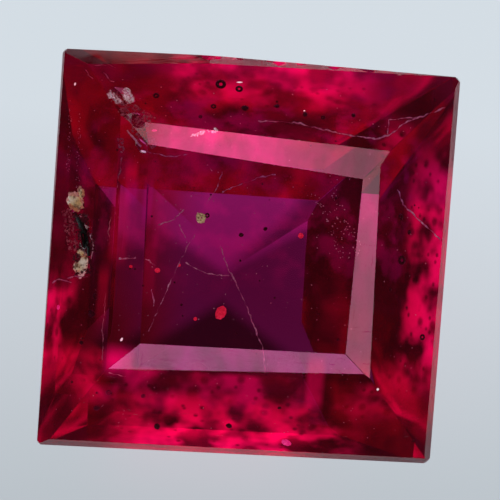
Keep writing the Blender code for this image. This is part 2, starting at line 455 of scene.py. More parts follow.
def tints_and_painted_shade(tree, shader, axes, crown):
    """The clear colour is tinted redder on the left side of the crown and darker in its far part with
    painted shade, and painted shade makes it darker and bluer along the far side of the table.
    """
    left_zone = product(tree, crown, ramp(tree, axes["X"], *LEFT_ZONE_RAMP))
    left_tint_and_shade = blend(tree, ramp(tree, axes["Y"], *LEFT_FAR_SHADE_RAMP), *LEFT_TINT_AND_SHADE)
    tint = blend(tree, left_zone, CLEAR_TINT, left_tint_and_shade)
    far_painted_shade = product(tree, *(ramp(tree, axes["Y"], *edge) for edge in FAR_SHADE_RAMPS))
    tint = blend(tree, product(tree, crown, far_painted_shade), tint, FAR_SHADE_TINT, mode="MULTIPLY")
    tree.links.new(tint, shader.inputs["Base Color"])


def glow_patches(tree, place):
    """Cloudy patches of painted light, with dark dots in them."""
    patches = map_range(tree, noise(tree, place, *PATCH_NOISE), *PATCH_LEVELS, smooth=True)
    for per_mm, reach in DOTS:
        flat = tree.nodes.new("ShaderNodeMapping")
        flat.inputs["Scale"].default_value = (per_mm / MM, per_mm / MM, DOT_FLATNESS * per_mm / MM)
        tree.links.new(place, flat.inputs["Vector"])
        dots = tree.nodes.new("ShaderNodeTexVoronoi")
        dots.inputs["Scale"].default_value = 1.0
        tree.links.new(flat.outputs["Vector"], dots.inputs["Vector"])
        clear = map_range(
            tree, dots.outputs["Distance"], reach * DOT_CORE, reach, DOT_DARKEST, 1.0, smooth=True
        )
        patches = product(tree, patches, clear)
    return patches


def add_light(tree, glow, share, colour):
    """A glow with a share of a colour added to it."""
    return blend(tree, 1.0, glow, blend(tree, share, BLACK, colour), mode="ADD")


def glow_in_pavilion(tree, place, axes, clouds, patches, pavilion):
    """Painted light in the pavilion, partly ruby's own red glow in daylight: red patches near its outer
    facets, brighter at the near side and the sides, dimmed at the corners and in painted shade at the far
    left.

    A pale painted sheen hangs further in, at the far side.
    """
    off_x = math_node(tree, "ABSOLUTE", axes["X"])
    off_y = math_node(tree, "ABSOLUTE", axes["Y"])
    towards_near = product(tree, axes["Y"], PATCH_NEAR_REACH)
    reach_out = math_node(tree, "MAXIMUM", math_node(tree, "MAXIMUM", off_x, off_y), towards_near)
    outer = ramp(tree, reach_out, *PATCH_OUTER_RAMP)
    corner = ramp(tree, math_node(tree, "MINIMUM", off_x, off_y), *PATCH_CORNER_RAMP)
    dark_left = product(
        tree, ramp(tree, axes["X"], *PATCH_LEFT_RAMP), ramp(tree, axes["Y"], *LEFT_FAR_SHADE_RAMP)
    )
    beside = product(tree, outer, rest_of(tree, corner), rest_of(tree, dark_left))
    gained = product(
        tree,
        patches,
        ramp(tree, axes["Y"], *PATCH_NEAR_RAMP, smooth=False),
        ramp(tree, off_x, *PATCH_SIDE_RAMP, smooth=False),
    )
    glow = blend(tree, clouds, *EVEN_GLOW)
    glow = blend(tree, product(tree, gained, beside, pavilion), glow, PATCH_GLOW)
    # A pale painted sheen further in, at the far side.
    sheen = map_range(tree, noise(tree, place, *SHEEN_NOISE), *SHEEN_LEVELS, smooth=True)
    sheen = product(tree, sheen, ramp(tree, axes["Y"], *SHEEN_RAMP))
    sheen = product(tree, sheen, product(tree, rest_of(tree, outer), pavilion))
    return add_light(tree, glow, sheen, SHEEN_GLOW)


def glow_through_crown(tree, place, axes, glow, patches, crown):
    """Painted light on the upper facets of the crown, standing for the light that gathers in the stone
    under them.

    The painted cloudy glow goes on in the upper part of the near facet, and bands of growth, which stand
    upright in the crystal, are painted in as light that shines through as well.
    """
    ends = product(tree, *(ramp(tree, axes["X"], *end) for end in STRIP_ENDS_RAMPS))
    streaks = map_range(tree, noise(tree, place, *STREAK_NOISE), *STREAK_LEVELS)
    far_side = math_node(tree, "GREATER_THAN", axes["Y"], STRIP_FAR_SIDE)
    along = blend(tree, far_side, ramp(tree, axes["Y"], *STRIP_RISING_RAMP), ends)
    glow = add_light(tree, glow, product(tree, along, streaks), facet_value(tree, "strip_light")["Color"])

    near_glow = product(tree, patches, crown)
    for coordinate, dark, bright in NEAR_GLOW_RAMPS:
        near_glow = product(tree, near_glow, ramp(tree, axes[coordinate], dark, bright))
    glow = add_light(tree, glow, near_glow, NEAR_GLOW)

    for middle, half_width, near_end, far_end, colour in GROWTH_BAND_LIGHT:
        aside = distance_from(tree, axes["X"], middle * MM)
        shine = ramp(tree, aside, half_width, half_width * BAND_CORE)
        for end, inward in ((near_end, BAND_END_FADE), (far_end, -BAND_END_FADE)):
            shine = product(tree, shine, ramp(tree, axes["Y"], end, end + inward))
        shine = product(tree, shine, product(tree, streaks, crown))
        glow = add_light(tree, glow, shine, colour)
    return glow


def ruby_material():
    material, tree, shader = new_material("clear_ruby")
    shader.inputs["IOR"].default_value = RUBY_IOR
    shader.inputs["Transmission Weight"].default_value = 1.0
    absorption = tree.nodes.new("ShaderNodeVolumeAbsorption")
    absorption.inputs["Color"].default_value = (*ABSORPTION_COLOUR, 1.0)
    absorption.inputs["Density"].default_value = ABSORPTION_PER_METRE
    tree.links.new(absorption.outputs["Volume"], tree.nodes["Material Output"].inputs["Volume"])

    place = stone_coordinates(tree)
    axes = split_axes(tree, place)
    crown, pavilion, girdle = facet_finishes(tree)
    clouds = noise(tree, place, *CLOUD_NOISE)
    patches = glow_patches(tree, place)
    polish_facets(tree, shader, place, clouds, pavilion, girdle)
    tints_and_painted_shade(tree, shader, axes, crown)
    glow = glow_in_pavilion(tree, place, axes, clouds, patches, pavilion)
    glow = glow_through_crown(tree, place, axes, glow, patches, crown)
    # The emission is painted light, partly standing for ruby's own red glow.
    tree.links.new(glow, shader.inputs["Emission Color"])
    shader.inputs["Emission Strength"].default_value = GLOW_STRENGTH
    return material


def between(value, ends):
    return ends[0] < value < ends[1]


stone_mesh = bmesh.new()
stone_mesh.from_mesh(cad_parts["ruby"].data)
bmesh.ops.remove_doubles(stone_mesh, verts=stone_mesh.verts, dist=MERGE_DISTANCE)
bmesh.ops.dissolve_limit(
    stone_mesh,
    angle_limit=FLAT_ANGLE,
    verts=stone_mesh.verts,
    edges=stone_mesh.edges,
    use_dissolve_boundaries=False,
)
worn_edges = [
    edge
    for edge in stone_mesh.edges
    if edge.calc_length() > WORN_EDGE_MIN_LENGTH
    and all(face.calc_area() > WORN_EDGE_MIN_FACET for face in edge.link_faces)
]
bmesh.ops.bevel(
    stone_mesh, geom=worn_edges, offset=WORN_EDGE_WIDTH, segments=1, affect="EDGES", clamp_overlap=True
)
bmesh.ops.triangulate(stone_mesh, faces=stone_mesh.faces)
bmesh.ops.recalc_face_normals(stone_mesh, faces=stone_mesh.faces)
surface_finder = BVHTree.FromBMesh(stone_mesh)
finish_layer = stone_mesh.loops.layers.float.new("finish")
strip_layer = stone_mesh.loops.layers.float_color.new("strip_light")
for face in stone_mesh.faces:
    outward = stone_turn.transposed() @ face.normal
    azimuth = math.degrees(math.atan2(outward.y, outward.x)) % 360.0
    far_left_bevel = between(azimuth, FAR_LEFT_BEVEL_AZIMUTH) and between(outward.z, FAR_LEFT_BEVEL_RISE)
    if outward.z < PAVILION_BELOW:
        finish_value = PAVILION_FINISH
    elif outward.z > CROWN_ABOVE or far_left_bevel:
        finish_value = CROWN_FINISH
    else:
        finish_value = GIRDLE_FINISH
    strip_colour = BLACK
    if between(outward.z, STRIP_RISE) and face.calc_area() > STRIP_MIN_FACET:
        strip_colour = STRIP_LIGHT_RIGHT_FAR_LEFT_NEAR[round(azimuth / 90.0) % 4]
    for loop in face.loops:
        loop[finish_layer] = finish_value
        loop[strip_layer] = (*strip_colour, 1.0)

ruby_mesh = bpy.data.meshes.new("ruby_stone")
stone_mesh.to_mesh(ruby_mesh)
stone_mesh.free()
ruby_mesh.materials.append(ruby_material())
ruby = put_in_scene("ruby_stone", ruby_mesh)
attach(ruby, "root")
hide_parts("ruby")

# Grains of another mineral lie in the pit on the left of the crown and in the table. They are tan, rough
# and opaque, and they grew with the crystal, which holds them. They have a painted glow, and the pale
# second colour of the tan grains stands for painted highlights.
LOOK_DOWN_FROM = 5.0 * MM
LUMP_CELLS = 2.4
LUMP_FRACTAL = (0.8, 2.1, 4)
GRAIN_LUMPS = 0.32
GRAIN_SEED_STEP = 3.7
COARSE_MOTTLING = (1.0, 3.0)
FINE_MOTTLING = (4.0, 4.0)
MOTTLING_LEVELS = (0.34, 0.66)
MINERAL_RELIEF = 0.03 * MM
ROUGHNESS_SPREAD = 0.3
PIT_GRAINS = (
    {"place": (-2.87, 0.72), "half": (0.13, 0.16, 0.09), "turn": 30.0, "depth": 0.05},
    {"place": (-2.80, 0.88), "half": (0.06, 0.10, 0.04), "turn": 20.0, "depth": 0.03},
    {"place": (-2.67, -0.32), "half": (0.10, 0.19, 0.09), "turn": -8.0, "depth": 0.05},
    {"place": (-2.79, -0.36), "half": (0.06, 0.08, 0.05), "turn": 10.0, "depth": 0.04},
    {"place": (-2.70, -0.12), "half": (0.07, 0.07, 0.05), "depth": 0.04},
)
TABLE_GRAINS = (
    {"place": (-0.81, 0.60), "half": (0.035, 0.075, 0.03), "turn": 8.0, "depth": 0.03},
    {"place": (-0.73, 0.59), "half": (0.032, 0.070, 0.03), "turn": -10.0, "depth": 0.03},
    {"place": (-0.77, 0.65), "half": (0.050, 0.028, 0.03), "depth": 0.03},
    {"place": (-0.77, 0.54), "half": (0.045, 0.026, 0.03), "depth": 0.03},
)


def surface_frame(x_mm, y_mm, depth):
    """A place under the crown, seen straight down on the table, with Z square to the facet there."""
    above = cut_to_laid @ Vector((x_mm * MM, y_mm * MM, LOOK_DOWN_FROM))
    place, normal, _, _ = surface_finder.ray_cast(above, stone_turn @ Vector((0.0, 0.0, -1.0)))
    across = stone_turn @ Vector((1.0, 0.0, 0.0))
    across = (across - normal * across.dot(normal)).normalized()
    axes = Matrix((across, normal.cross(across), normal)).transposed()
    return Matrix.Translation(place - normal * depth * MM) @ axes.to_4x4()


def add_lump(mesh, frame_there, half_mm, turn, lumps, seed, subdivisions=4):
    """A lumpy ball, stretched along the facet that it lies in."""
    made = bmesh.ops.create_icosphere(mesh, subdivisions=subdivisions, radius=1.0)
    spin = Matrix.Rotation(math.radians(turn), 4, "Z")
    for corner in made["verts"]:
        swell = solid_noise.fractal(corner.co * LUMP_CELLS + Vector((seed, 0.0, 0.0)), *LUMP_FRACTAL)
        lump = corner.co * (1.0 + lumps * swell)
        corner.co = frame_there @ spin @ Vector(c * half * MM for c, half in zip(lump, half_mm))
    for face in {face for corner in made["verts"] for face in corner.link_faces}:
        face.smooth = True


def finish_piece(name, shape, material=None):
    """Turns a bmesh, or an object that is made already, into a piece that stays with the stone."""
    if isinstance(shape, bmesh.types.BMesh):
        mesh = bpy.data.meshes.new(name)
        shape.to_mesh(mesh)
        shape.free()
        mesh.materials.append(material)
        piece = put_in_scene(name, mesh)
    else:
        piece = shape
    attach(piece, "root")


def lump_piece(name, rows, material, lumps, seed_step, subdivisions=4, cover=0.0):
    """A piece of many lumps, each as deep in the stone as its row says, or else just covered."""
    mesh = bmesh.new()
    for number, row in enumerate(rows):
        there = surface_frame(*row["place"], row.get("depth", row["half"][2] + cover))
        add_lump(mesh, there, row["half"], row.get("turn", 0.0), lumps, seed_step * number, subdivisions)
    finish_piece(name, mesh, material)


def mineral_grain_group():
    """Coarse and fine mottling and a rough normal, for every opaque thing in the stone."""
    group = bpy.data.node_groups.new("mineral_grain", "ShaderNodeTree")
    group.interface.new_socket("Cells per mm", in_out="INPUT", socket_type="NodeSocketFloat")
    for label, kind in (("Coarse", "Float"), ("Fine", "Float"), ("Normal", "Vector")):
        group.interface.new_socket(label, in_out="OUTPUT", socket_type="NodeSocket" + kind)
    inside = group.nodes.new("NodeGroupInput")
    outside = group.nodes.new("NodeGroupOutput")
    coordinates = group.nodes.new("ShaderNodeTexCoord")
    scale = math_node(group, "DIVIDE", inside.outputs["Cells per mm"], MM)
    for label, (share, detail) in (("Coarse", COARSE_MOTTLING), ("Fine", FINE_MOTTLING)):
        cells = group.nodes.new("ShaderNodeTexNoise")
        group.links.new(coordinates.outputs["Object"], cells.inputs["Vector"])
        group.links.new(product(group, scale, share), cells.inputs["Scale"])
        cells.inputs["Detail"].default_value = detail
        group.links.new(map_range(group, cells.outputs["Fac"], *MOTTLING_LEVELS), outside.inputs[label])
    bump = group.nodes.new("ShaderNodeBump")
    bump.inputs["Distance"].default_value = MINERAL_RELIEF
    group.links.new(cells.outputs["Fac"], bump.inputs["Height"])
    group.links.new(bump.outputs["Normal"], outside.inputs["Normal"])
    return group


MINERAL_GRAIN = mineral_grain_group()


def mineral_material(name, colours, per_mm, roughness, glow, third_from=0.0):
    """An opaque mineral of one colour, mottled coarsely with a second and finely with a third, with a
    painted glow.
    """
    material, tree, shader = new_material(name)
    mottle = tree.nodes.new("ShaderNodeGroup")
    mottle.node_tree = MINERAL_GRAIN
    mottle.inputs["Cells per mm"].default_value = per_mm
    first, second, third = colours
    third_share = map_range(tree, mottle.outputs["Fine"], third_from, 1.0)
    colour = blend(tree, third_share, blend(tree, mottle.outputs["Coarse"], first, second), third)
    tree.links.new(colour, shader.inputs["Base Color"])
    # The emission is painted light in the mineral's own colours.
    tree.links.new(colour, shader.inputs["Emission Color"])
    smoothest = roughness * (1.0 - ROUGHNESS_SPREAD)
    roughest = roughness * (1.0 + ROUGHNESS_SPREAD)
    rough = map_range(tree, mottle.outputs["Coarse"], 0.0, 1.0, smoothest, roughest)
    tree.links.new(rough, shader.inputs["Roughness"])
    tree.links.new(mottle.outputs["Normal"], shader.inputs["Normal"])
    shader.inputs["Emission Strength"].default_value = glow
    return material


tan_mineral = mineral_material(
    "tan_mineral",
    ((0.58, 0.36, 0.17), (1.0, 0.84, 0.78), (0.16, 0.06, 0.03)),
    per_mm=4.0, roughness=0.40, glow=0.36, third_from=0.45,
)
green_mineral = mineral_material(
    "green_mineral",
    ((0.52, 0.38, 0.18), (0.80, 0.64, 0.40), (0.20, 0.10, 0.05)),
    per_mm=9.0, roughness=0.45, glow=0.35, third_from=0.3,
)
lump_piece("pit_grains", PIT_GRAINS, tan_mineral, GRAIN_LUMPS, GRAIN_SEED_STEP)
lump_piece("table_grain", TABLE_GRAINS, green_mineral, GRAIN_LUMPS, GRAIN_SEED_STEP)

# Round dark crystals lie just under the crown, where they grew with the stone, and are seen from above as
# dark spots. Dark rings with a red middle are painted shade, the dark rims of bubbles under the crown. A
# row is its place and its radius in millimetres.
RINGS = (
    (-0.61, 2.86, 0.085), (-0.30, 2.80, 0.060), (-1.66, 2.58, 0.050), (-0.70, 2.47, 0.045),
    (2.61, 0.15, 0.075), (2.53, 0.87, 0.045), (3.05, -1.10, 0.050), (-2.43, -0.82, 0.055),
    (-2.08, -2.40, 0.050), (-0.67, 0.65, 0.040), (1.12, 2.42, 0.035), (-0.90, 2.28, 0.030),
)
SPOTS = (
    (-0.18, 2.49, 0.060), (0.35, 2.56, 0.040), (0.82, 2.46, 0.045), (1.62, 2.50, 0.040),
    (-2.49, -1.11, 0.070), (-2.26, -2.68, 0.055), (-1.51, -2.42, 0.040), (-1.25, -2.92, 0.055),
    (-0.06, -2.82, 0.050), (-0.09, 0.37, 0.040), (0.30, 0.50, 0.035), (2.70, 0.62, 0.040),
    (2.45, -0.35, 0.030), (-2.62, -1.60, 0.040), (0.75, -2.45, 0.030),
)
SPOT_SHAPE = (1.0, 0.85, 0.6)
SPOT_TURN_STEP = 40.0
SPOT_SEED_STEP = 1.3
SPOT_LUMPS = 0.2
SMALL_SPOT_COUNT = 70
SMALL_SPOT_SEED = 31
SMALL_SPOT_RADII = (0.010, 0.024)
SMALL_SPOTS_ACROSS = (-3.0, 3.1)
SMALL_SPOTS_UP = (-3.0, 2.9)
SMALL_SPOT_SHAPE = (1.0, 1.0, 0.7)
SMALL_SPOT_LUMPS = 0.15
RING_SIDES = 22
RING_TUBE_SIDES = 8
RING_TUBE_SHARE = 0.50
RING_MIDDLE_SHARE = 0.7
INCLUSION_COVER = 0.03


def add_ring(mesh, there, radius_mm):
    """A small closed ring that lies in the facet."""
    tube = radius_mm * RING_TUBE_SHARE
    rows = []
    for step in range(RING_SIDES):
        around = 2.0 * math.pi * step / RING_SIDES
        row = []
        for side in range(RING_TUBE_SIDES):
            bend = 2.0 * math.pi * side / RING_TUBE_SIDES
            reach = (radius_mm + tube * math.cos(bend)) * MM
            local = Vector((reach * math.cos(around), reach * math.sin(around), tube * math.sin(bend) * MM))
            row.append(mesh.verts.new(there @ local))
        rows.append(row)
    for step, row in enumerate(rows):
        ahead = rows[(step + 1) % RING_SIDES]
        for side in range(RING_TUBE_SIDES):
            beside = (side + 1) % RING_TUBE_SIDES
            mesh.faces.new((row[side], ahead[side], ahead[beside], row[beside])).smooth = True


rings = bmesh.new()
for x_mm, y_mm, radius_mm in RINGS:
    there = surface_frame(x_mm, y_mm, radius_mm * RING_TUBE_SHARE + INCLUSION_COVER)
    add_ring(rings, there, radius_mm * RING_MIDDLE_SHARE)
for number, (x_mm, y_mm, radius_mm) in enumerate(SPOTS):
    half = [radius_mm * share for share in SPOT_SHAPE]
    there = surface_frame(x_mm, y_mm, radius_mm + INCLUSION_COVER)
    add_lump(rings, there, half, SPOT_TURN_STEP * number, SPOT_LUMPS, SPOT_SEED_STEP * number, 3)
draw = random.Random(SMALL_SPOT_SEED)
for number in range(SMALL_SPOT_COUNT):
    x_mm = draw.uniform(*SMALL_SPOTS_ACROSS)
    y_mm = draw.uniform(*SMALL_SPOTS_UP)
    radius_mm = draw.uniform(*SMALL_SPOT_RADII)
    half = [radius_mm * share for share in SMALL_SPOT_SHAPE]
    there = surface_frame(x_mm, y_mm, radius_mm + INCLUSION_COVER)
    add_lump(rings, there, half, 0.0, SMALL_SPOT_LUMPS, number, subdivisions=1)
dark_spot_and_rim_shade_material = mineral_material(
    "dark_spots_and_rim_shade",
    ((0.075, 0.006, 0.012), (0.12, 0.014, 0.020), (0.025, 0.001, 0.005)),
    per_mm=8.0, roughness=0.4, glow=0.02,
)
finish_piece("dark_spots_and_rim_shade", rings, dark_spot_and_rim_shade_material)

# A few round inclusions shine red with painted highlights, where they catch the light. Three more shine
# pink with painted highlights, one at the near edge, one in the upper facet of the far side and one at the
# left. They grew with the crystal too.
SHINING_SPOT_LUMPS = 0.15
SHINING_SPOT_SEED_STEP = 5.1
RED_SPOTS = (
    {"place": (-0.33, -0.93), "half": (0.085, 0.115, 0.05), "turn": -25.0},
    {"place": (0.89, 0.43), "half": (0.045, 0.045, 0.03)},
    {"place": (-0.74, -1.06), "half": (0.030, 0.030, 0.02)},
    {"place": (-1.42, -0.31), "half": (0.045, 0.040, 0.03)},
    {"place": (-1.87, -0.28), "half": (0.030, 0.025, 0.02)},
    {"place": (-1.07, -0.20), "half": (0.025, 0.025, 0.02)},
)
PINK_SPOTS = (
    {"place": (0.91, -3.03), "half": (0.085, 0.055, 0.03), "turn": -20.0},
    {"place": (-1.64, 1.99), "half": (0.045, 0.018, 0.02), "turn": 8.0},
    {"place": (-3.05, -1.05), "half": (0.030, 0.040, 0.02)},
)
for name, spots, colours, glow in (
    ("red_spots", RED_SPOTS, ((0.85, 0.015, 0.06), (0.95, 0.03, 0.10), (0.55, 0.006, 0.03)), 0.55),
    ("pink_spots", PINK_SPOTS, ((0.95, 0.03, 0.26), (1.0, 0.09, 0.40), (0.70, 0.01, 0.16)), 0.75),
):
    material = mineral_material(name, colours, per_mm=9.0, roughness=0.35, glow=glow)
    lump_piece(name, spots, material, SHINING_SPOT_LUMPS, SHINING_SPOT_SEED_STEP, 3, INCLUSION_COVER)

# Healed cracks run through the crown as thin, broken, pale threads just under its surface, and its left
# ridge is worn pale; both have a painted glow. A row is the half thickness of a thread and the places that
# it runs through.
CRACK_DEPTH = 0.012
CRACK_STEP = 0.05
CRACK_WANDER = 0.014
CRACK_SEED = 12
THREAD_STEP = 0.022 * MM
THREAD_SIDES = 5
THREAD_DETAIL = 2.0
THREAD_LEVELS = (0.40, 0.62)
THREAD_THICKEST = 1.3
CRACK_THINNEST = 0.06
CRACKS = (
    (0.014, (
        (0.05, 2.27), (0.7, 2.29), (1.18, 2.2), (1.6, 2.14), (2.07, 2.12),
        (2.26, 2.22), (2.48, 2.43), (2.82, 2.58), (3.14, 2.73),
    )),
    (0.009, ((2.2, 2.22), (2.2, 2.45), (2.66, 2.53))),
    (0.012, ((2.43, 1.31), (2.55, 1.07), (2.78, 0.88), (3.04, 0.69), (3.22, 0.53))),
    (0.013, ((-0.47, 1.38), (-0.56, 1.09), (-0.7, 0.83))),
    (0.011, ((-0.46, 1.05), (-0.17, 1.2), (0.19, 1.35), (0.4, 1.4))),
    (0.009, ((-1.45, 0.44), (-1.21, 0.54), (-1.06, 0.72))),
    (0.009, ((-1.12, 0.47), (-0.97, 0.18))),
    (0.010, ((-0.83, 0.37), (-1.06, -0.12), (-1.21, -0.54), (-1.49, -1.32))),
    (0.009, ((-0.98, -0.14), (-0.73, -0.26), (-0.48, -0.32), (-0.24, -0.31))),
    (0.011, ((-0.43, 0.18), (-0.27, -0.19), (-0.04, -0.54), (0.19, -1.03), (0.39, -1.43), (0.47, -1.87))),
    (0.017, ((-2.07, -0.17), (-1.94, -0.14), (-1.79, -0.13))),
    (0.010, ((-1.65, -0.14), (-1.57, -0.17), (-1.46, -0.23))),
    (0.015, ((-3.17, -0.66), (-3.09, -0.58), (-2.99, -0.58), (-2.85, -0.62))),
    (0.015, ((-2.91, -0.55), (-2.74, -0.51), (-2.58, -0.50))),
    (0.010, ((-2.86, 2.90), (-2.80, 2.83), (-2.73, 2.77))),
    (0.008, ((-2.75, 2.99), (-2.53, 3.02), (-2.45, 3.02), (-2.37, 2.99))),
    (0.009, ((-2.55, 2.90), (-2.49, 2.81), (-2.44, 2.75), (-2.37, 2.75))),
    (0.012, ((-2.21, 0.58), (-2.16, 0.53), (-2.10, 0.49))),
    (0.008, ((-1.71, 1.62), (-1.37, 1.56), (-1.03, 1.64))),
    (0.010, ((-1.50, -0.62), (-1.46, -0.75), (-1.44, -0.90))),
)
WORN_RIDGE = (
    (0.010, ((-2.14, 1.50), (-2.17, 1.14), (-2.18, 1.0))),
    (0.010, ((-2.26, 0.53), (-2.27, 0.37), (-2.28, 0.24), (-2.25, 0.14), (-2.25, 0.05))),
    (0.009, ((-2.24, -0.75), (-2.25, -1.05), (-2.26, -1.35), (-2.24, -1.60), (-2.22, -1.95))),
    (0.009, ((-2.10, -2.05), (-1.80, -2.10))),
)


def geometry_tree(name, sockets):
    """A node tree for shapes, with its named inputs."""
    tree = bpy.data.node_groups.new(name, "GeometryNodeTree")
    tree.interface.new_socket("Geometry", in_out="INPUT", socket_type="NodeSocketGeometry")
    for label, kind in sockets:
        tree.interface.new_socket(label, in_out="INPUT", socket_type=kind)
    tree.interface.new_socket("Geometry", in_out="OUTPUT", socket_type="NodeSocketGeometry")
    return tree, tree.nodes.new("NodeGroupInput"), tree.nodes.new("NodeGroupOutput")


def finish_tree(tree, shape, inside, outside):
    """Realizes the shapes, smooths them and gives them their material."""
    for kind in ("GeometryNodeRealizeInstances", "GeometryNodeSetShadeSmooth", "GeometryNodeSetMaterial"):
        node = tree.nodes.new(kind)
        tree.links.new(shape, node.inputs["Geometry"])
        shape = node.outputs["Geometry"]
    tree.links.new(inside.outputs["Material"], node.inputs["Material"])
    tree.links.new(shape, outside.inputs["Geometry"])


def point_value(tree, name, kind):
    """What each point carries under a name."""
    node = tree.nodes.new("GeometryNodeInputNamedAttribute")
    node.data_type = kind
    node.inputs["Name"].default_value = name
    return node.outputs["Attribute"]


def thread_tree():
    """Sweeps a round thread along a line of points, thicker and thinner from place to place."""
    sockets = (
        ("Step", "NodeSocketFloat"),
        ("Cells per mm", "NodeSocketFloat"),
        ("Thinnest", "NodeSocketFloat"),
        ("Material", "NodeSocketMaterial"),
    )
    tree, inside, outside = geometry_tree("threads", sockets)
    line = tree.nodes.new("GeometryNodeMeshToCurve")
    resample = tree.nodes.new("GeometryNodeResampleCurve")
    resample.mode = "LENGTH"
    patchy = tree.nodes.new("ShaderNodeTexNoise")
    patchy.inputs["Detail"].default_value = THREAD_DETAIL
    circle = tree.nodes.new("GeometryNodeCurvePrimitiveCircle")
    circle.inputs["Resolution"].default_value = THREAD_SIDES
    circle.inputs["Radius"].default_value = 1.0
    sweep = tree.nodes.new("GeometryNodeCurveToMesh")
    sweep.inputs["Fill Caps"].default_value = True
    tree.links.new(inside.outputs["Geometry"], line.inputs["Mesh"])
    tree.links.new(line.outputs["Curve"], resample.inputs["Curve"])
    tree.links.new(inside.outputs["Step"], resample.inputs["Length"])
    tree.links.new(math_node(tree, "DIVIDE", inside.outputs["Cells per mm"], MM), patchy.inputs["Scale"])
    share = map_range(tree, patchy.outputs["Fac"], *THREAD_LEVELS, 0.0, THREAD_THICKEST)
    tree.links.new(inside.outputs["Thinnest"], share.node.inputs["To Min"])
    tree.links.new(product(tree, point_value(tree, "radius", "FLOAT"), share), sweep.inputs["Scale"])
    tree.links.new(resample.outputs["Curve"], sweep.inputs["Curve"])
    tree.links.new(circle.outputs["Curve"], sweep.inputs["Profile Curve"])
    finish_tree(tree, sweep.outputs["Mesh"], inside, outside)
    return tree


def grow(name, mesh, tree, values):
    """Runs a node tree on a mesh and keeps the shape that it makes."""
    grown = put_in_scene(name, mesh)
    modifier = grown.modifiers.new(name, "NODES")
    modifier.node_group = tree
    for item in tree.interface.items_tree:
        if item.in_out == "INPUT" and item.name in values:
            modifier[item.identifier] = values[item.name]
    shape = bpy.data.meshes.new_from_object(grown.evaluated_get(bpy.context.evaluated_depsgraph_get()))
    shape.materials.clear()
    shape.materials.append(values["Material"])
    shape.polygons.foreach_set("material_index", [0] * len(shape.polygons))
    grown.modifiers.clear()
    grown.data = shape
    return grown


def thread_lines(name, paths, depth, draw, wander):
    """Lines of points that follow the crown, each with the half thickness of its thread."""
    places, edges, radii = [], [], []
    for radius_mm, path in paths:
        first = len(places)
        for (x0, y0), (x1, y1) in zip(path, path[1:]):
            steps = max(1, round(math.hypot(x1 - x0, y1 - y0) / CRACK_STEP))
            for step in range(steps):
                x_mm = x0 + (x1 - x0) * step / steps + draw.uniform(-wander, wander)
                y_mm = y0 + (y1 - y0) * step / steps + draw.uniform(-wander, wander)
                places.append(surface_frame(x_mm, y_mm, depth).translation)
                radii.append(radius_mm * MM)
        places.append(surface_frame(*path[-1], depth).translation)
        radii.append(radius_mm * MM)
        edges.extend((number, number + 1) for number in range(first, len(places) - 1))
    mesh = bpy.data.meshes.new(name)
    mesh.from_pydata([tuple(place) for place in places], edges, [])
    mesh.attributes.new("radius", "FLOAT", "POINT").data.foreach_set("value", radii)
    return mesh


THREADS = thread_tree()


def thread_piece(name, paths, depth, wander, cells_per_mm, thinnest, material):
    """A piece of threads that follow the crown."""
    lines = thread_lines(name, paths, depth, draw, wander)
    values = {"Step": THREAD_STEP, "Cells per mm": cells_per_mm, "Thinnest": thinnest, "Material": material}
    finish_piece(name, grow(name, lines, THREADS, values))


draw = random.Random(CRACK_SEED)
for name, paths, cells, glow, colours in (
    ("healed_cracks", CRACKS, 9.0, 0.24, ((0.62, 0.14, 0.34), (0.82, 0.40, 0.60), (0.36, 0.04, 0.15))),
    ("worn_ridge", WORN_RIDGE, 7.0, 0.16, ((0.62, 0.24, 0.36), (0.75, 0.45, 0.55), (0.40, 0.06, 0.14))),
):
    material = mineral_material(name, colours, per_mm=8.0, roughness=0.5, glow=glow)
    thread_piece(name, paths, CRACK_DEPTH, CRACK_WANDER, cells, CRACK_THINNEST, material)

# An open fissure runs between the grains of the pit, black with a greenish shine, and its lips are worn
# pale with a painted glow. A pale streak with a painted glow runs down the broken corner, and a few painted
# highlights, small lumps that glow white, glint on the crown.
FISSURE_DEPTH = 0.02
FISSURE_WANDER = CRACK_WANDER * 0.4
FISSURE_CELLS = 4.0
FISSURE_THINNEST = 0.8
FISSURE = (
    (0.022, ((-2.86, 0.55), (-2.82, 0.46))),
    (0.040, ((-2.82, 0.46), (-2.76, 0.36), (-2.70, 0.26))),
    (0.048, ((-2.70, 0.26), (-2.65, 0.14), (-2.61, 0.02))),
    (0.034, ((-2.61, 0.02), (-2.59, -0.06), (-2.58, -0.16))),
    (0.030, ((-2.74, 0.24), (-2.70, 0.10), (-2.66, -0.02))),
)
PALE_LIPS = (
    (0.014, ((-2.585, 0.19), (-2.53, 0.06), (-2.525, -0.06))),
    (0.009, ((-2.525, -0.06), (-2.54, -0.16), (-2.55, -0.24))),
    (0.008, ((-2.78, 0.51), (-2.72, 0.40), (-2.665, 0.31))),
    (0.015, ((-2.09, 1.95), (-1.97, 1.83))),
    (0.013, ((-1.97, 1.83), (-1.84, 1.70))),
)
BRIGHT_LUMPS = 0.2
BRIGHT_SEED_STEP = 2.3
BRIGHT_POINT_COVER = 0.004
BRIGHT_POINTS = (
    {"place": (-1.80, 1.62), "half": (0.060, 0.022, 0.015), "turn": -14.0},
    {"place": (-3.03, 2.67), "half": (0.020, 0.026, 0.012), "turn": -20.0},
    {"place": (-1.93, -1.49), "half": (0.018, 0.032, 0.012), "turn": -30.0},
    {"place": (2.35, -2.00), "half": (0.020, 0.020, 0.012)},
    {"place": (-0.30, 2.90), "half": (0.050, 0.012, 0.012), "turn": 5.0},
    {"place": (0.80, 2.50), "half": (0.016, 0.010, 0.010)},
)
fissure_black = mineral_material(
    "fissure_black",
    ((0.006, 0.007, 0.004), (0.020, 0.020, 0.012), (0.004, 0.003, 0.002)),
    per_mm=7.0, roughness=0.35, glow=0.0,
)
